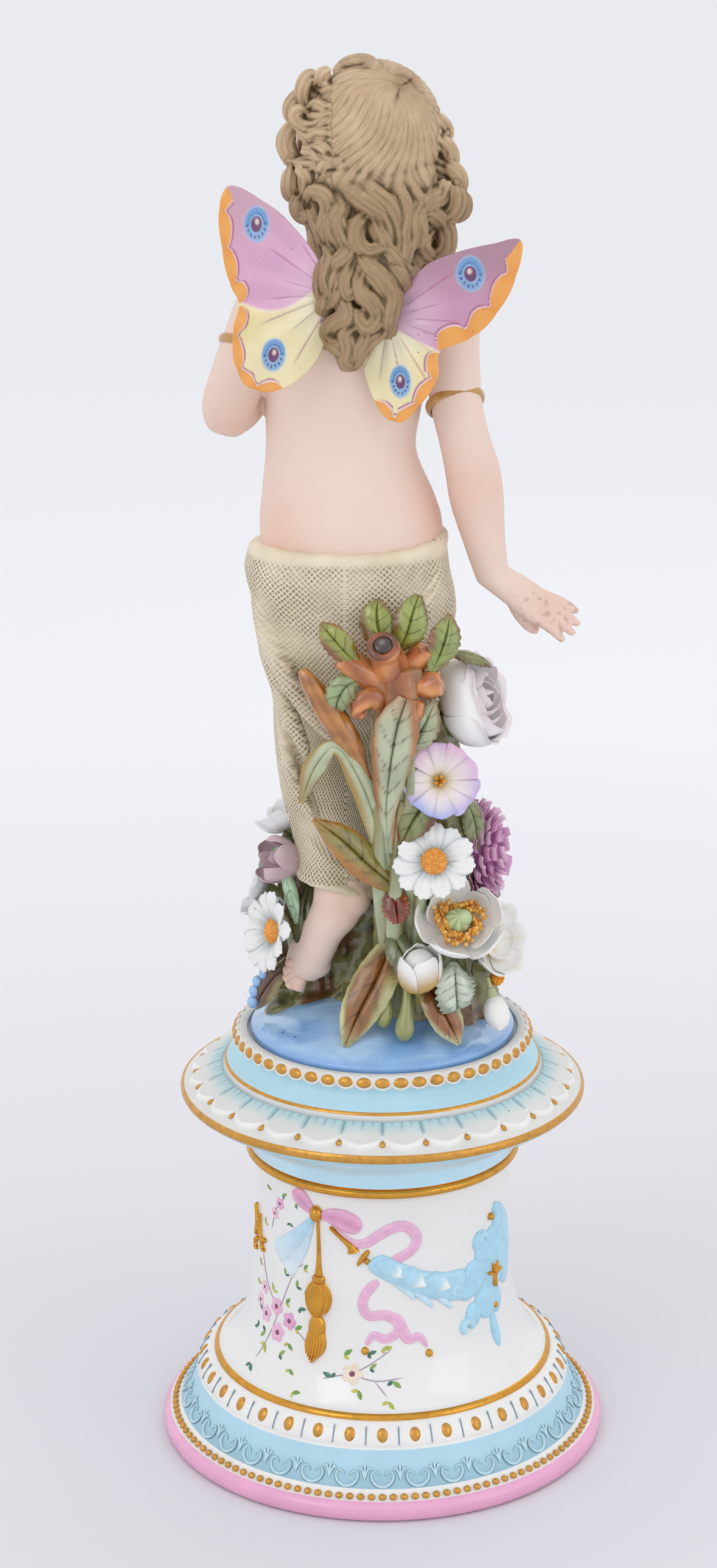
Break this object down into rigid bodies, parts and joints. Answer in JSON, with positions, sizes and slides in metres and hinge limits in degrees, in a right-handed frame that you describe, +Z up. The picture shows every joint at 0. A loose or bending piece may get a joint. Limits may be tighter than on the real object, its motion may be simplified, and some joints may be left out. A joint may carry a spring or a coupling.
{
  "type": "bisque porcelain figurine on pedestal",
  "caption": "Winged child of bisque porcelain draped in netting beside a flowering stump, set in a beaded socle on a round glazed pedestal with relief ornament.",
  "frame": {"origin": "centre of the pedestal's underside", "axes": "+Z up the figurine, -Y the side that the child's back and wings face, +X to the right seen from there"},
  "size_m": [0.166, 0.166, 0.5055],
  "materials": {
    "glazed_white": "glossy white glaze with light blue, pink and gilt",
    "tinted_bisque": "matte bisque washed in pale blue and grey, gilt lines",
    "skin_bisque": "matte tinted bisque",
    "painted_wing": "matte bisque painted pink, yellow and orange",
    "ochre_glaze": "glossy ochre brown glaze",
    "celadon_glaze": "glossy pale green glaze",
    "leaf_glaze": "glossy green and brown glaze with dark veins",
    "white_bisque": "matte white bisque petals",
    "lilac_bisque": "matte lilac bisque petals",
    "pink_bisque": "matte pink bisque petals"
  },
  "bodies": {
    "root": {"pedestal": "glazed_white", "socle": "tinted_bisque", "figure": "skin_bisque", "wing_left": "painted_wing", "wing_right": "painted_wing", "bulrush": "ochre_glaze", "leaf_tall": "celadon_glaze", "leaf_reed": "celadon_glaze", "leaf_ochre": "leaf_glaze", "leaf_grey": "leaf_glaze", "daisy_large": "white_bisque", "morning_glory": "lilac_bisque", "rose": "white_bisque", "anemone": "white_bisque", "chrysanthemum": "pink_bisque", "blossom_white": "white_bisque", "daisy_left": "white_bisque", "tulip_mauve": "lilac_bisque", "blossom_left_upper": "white_bisque", "blossom_left_lower": "white_bisque", "rose_front": "white_bisque", "daisy_front": "white_bisque", "blossom_front": "white_bisque", "tulip_white": "white_bisque", "leaf_behind": "leaf_glaze", "leaf_ground_left": "leaf_glaze", "leaf_ground_right": "leaf_glaze", "leaf_ground_brown": "leaf_glaze", "leaf_scalloped": "leaf_glaze", "leaf_stump_top": "leaf_glaze", "leaf_stump_crown": "leaf_glaze", "leaf_stump_left": "leaf_glaze", "leaf_stump_low": "leaf_glaze", "leaf_stump_right": "leaf_glaze", "leaf_front": "leaf_glaze", "bud_right": "white_bisque"}
  },
  "joints": []
}
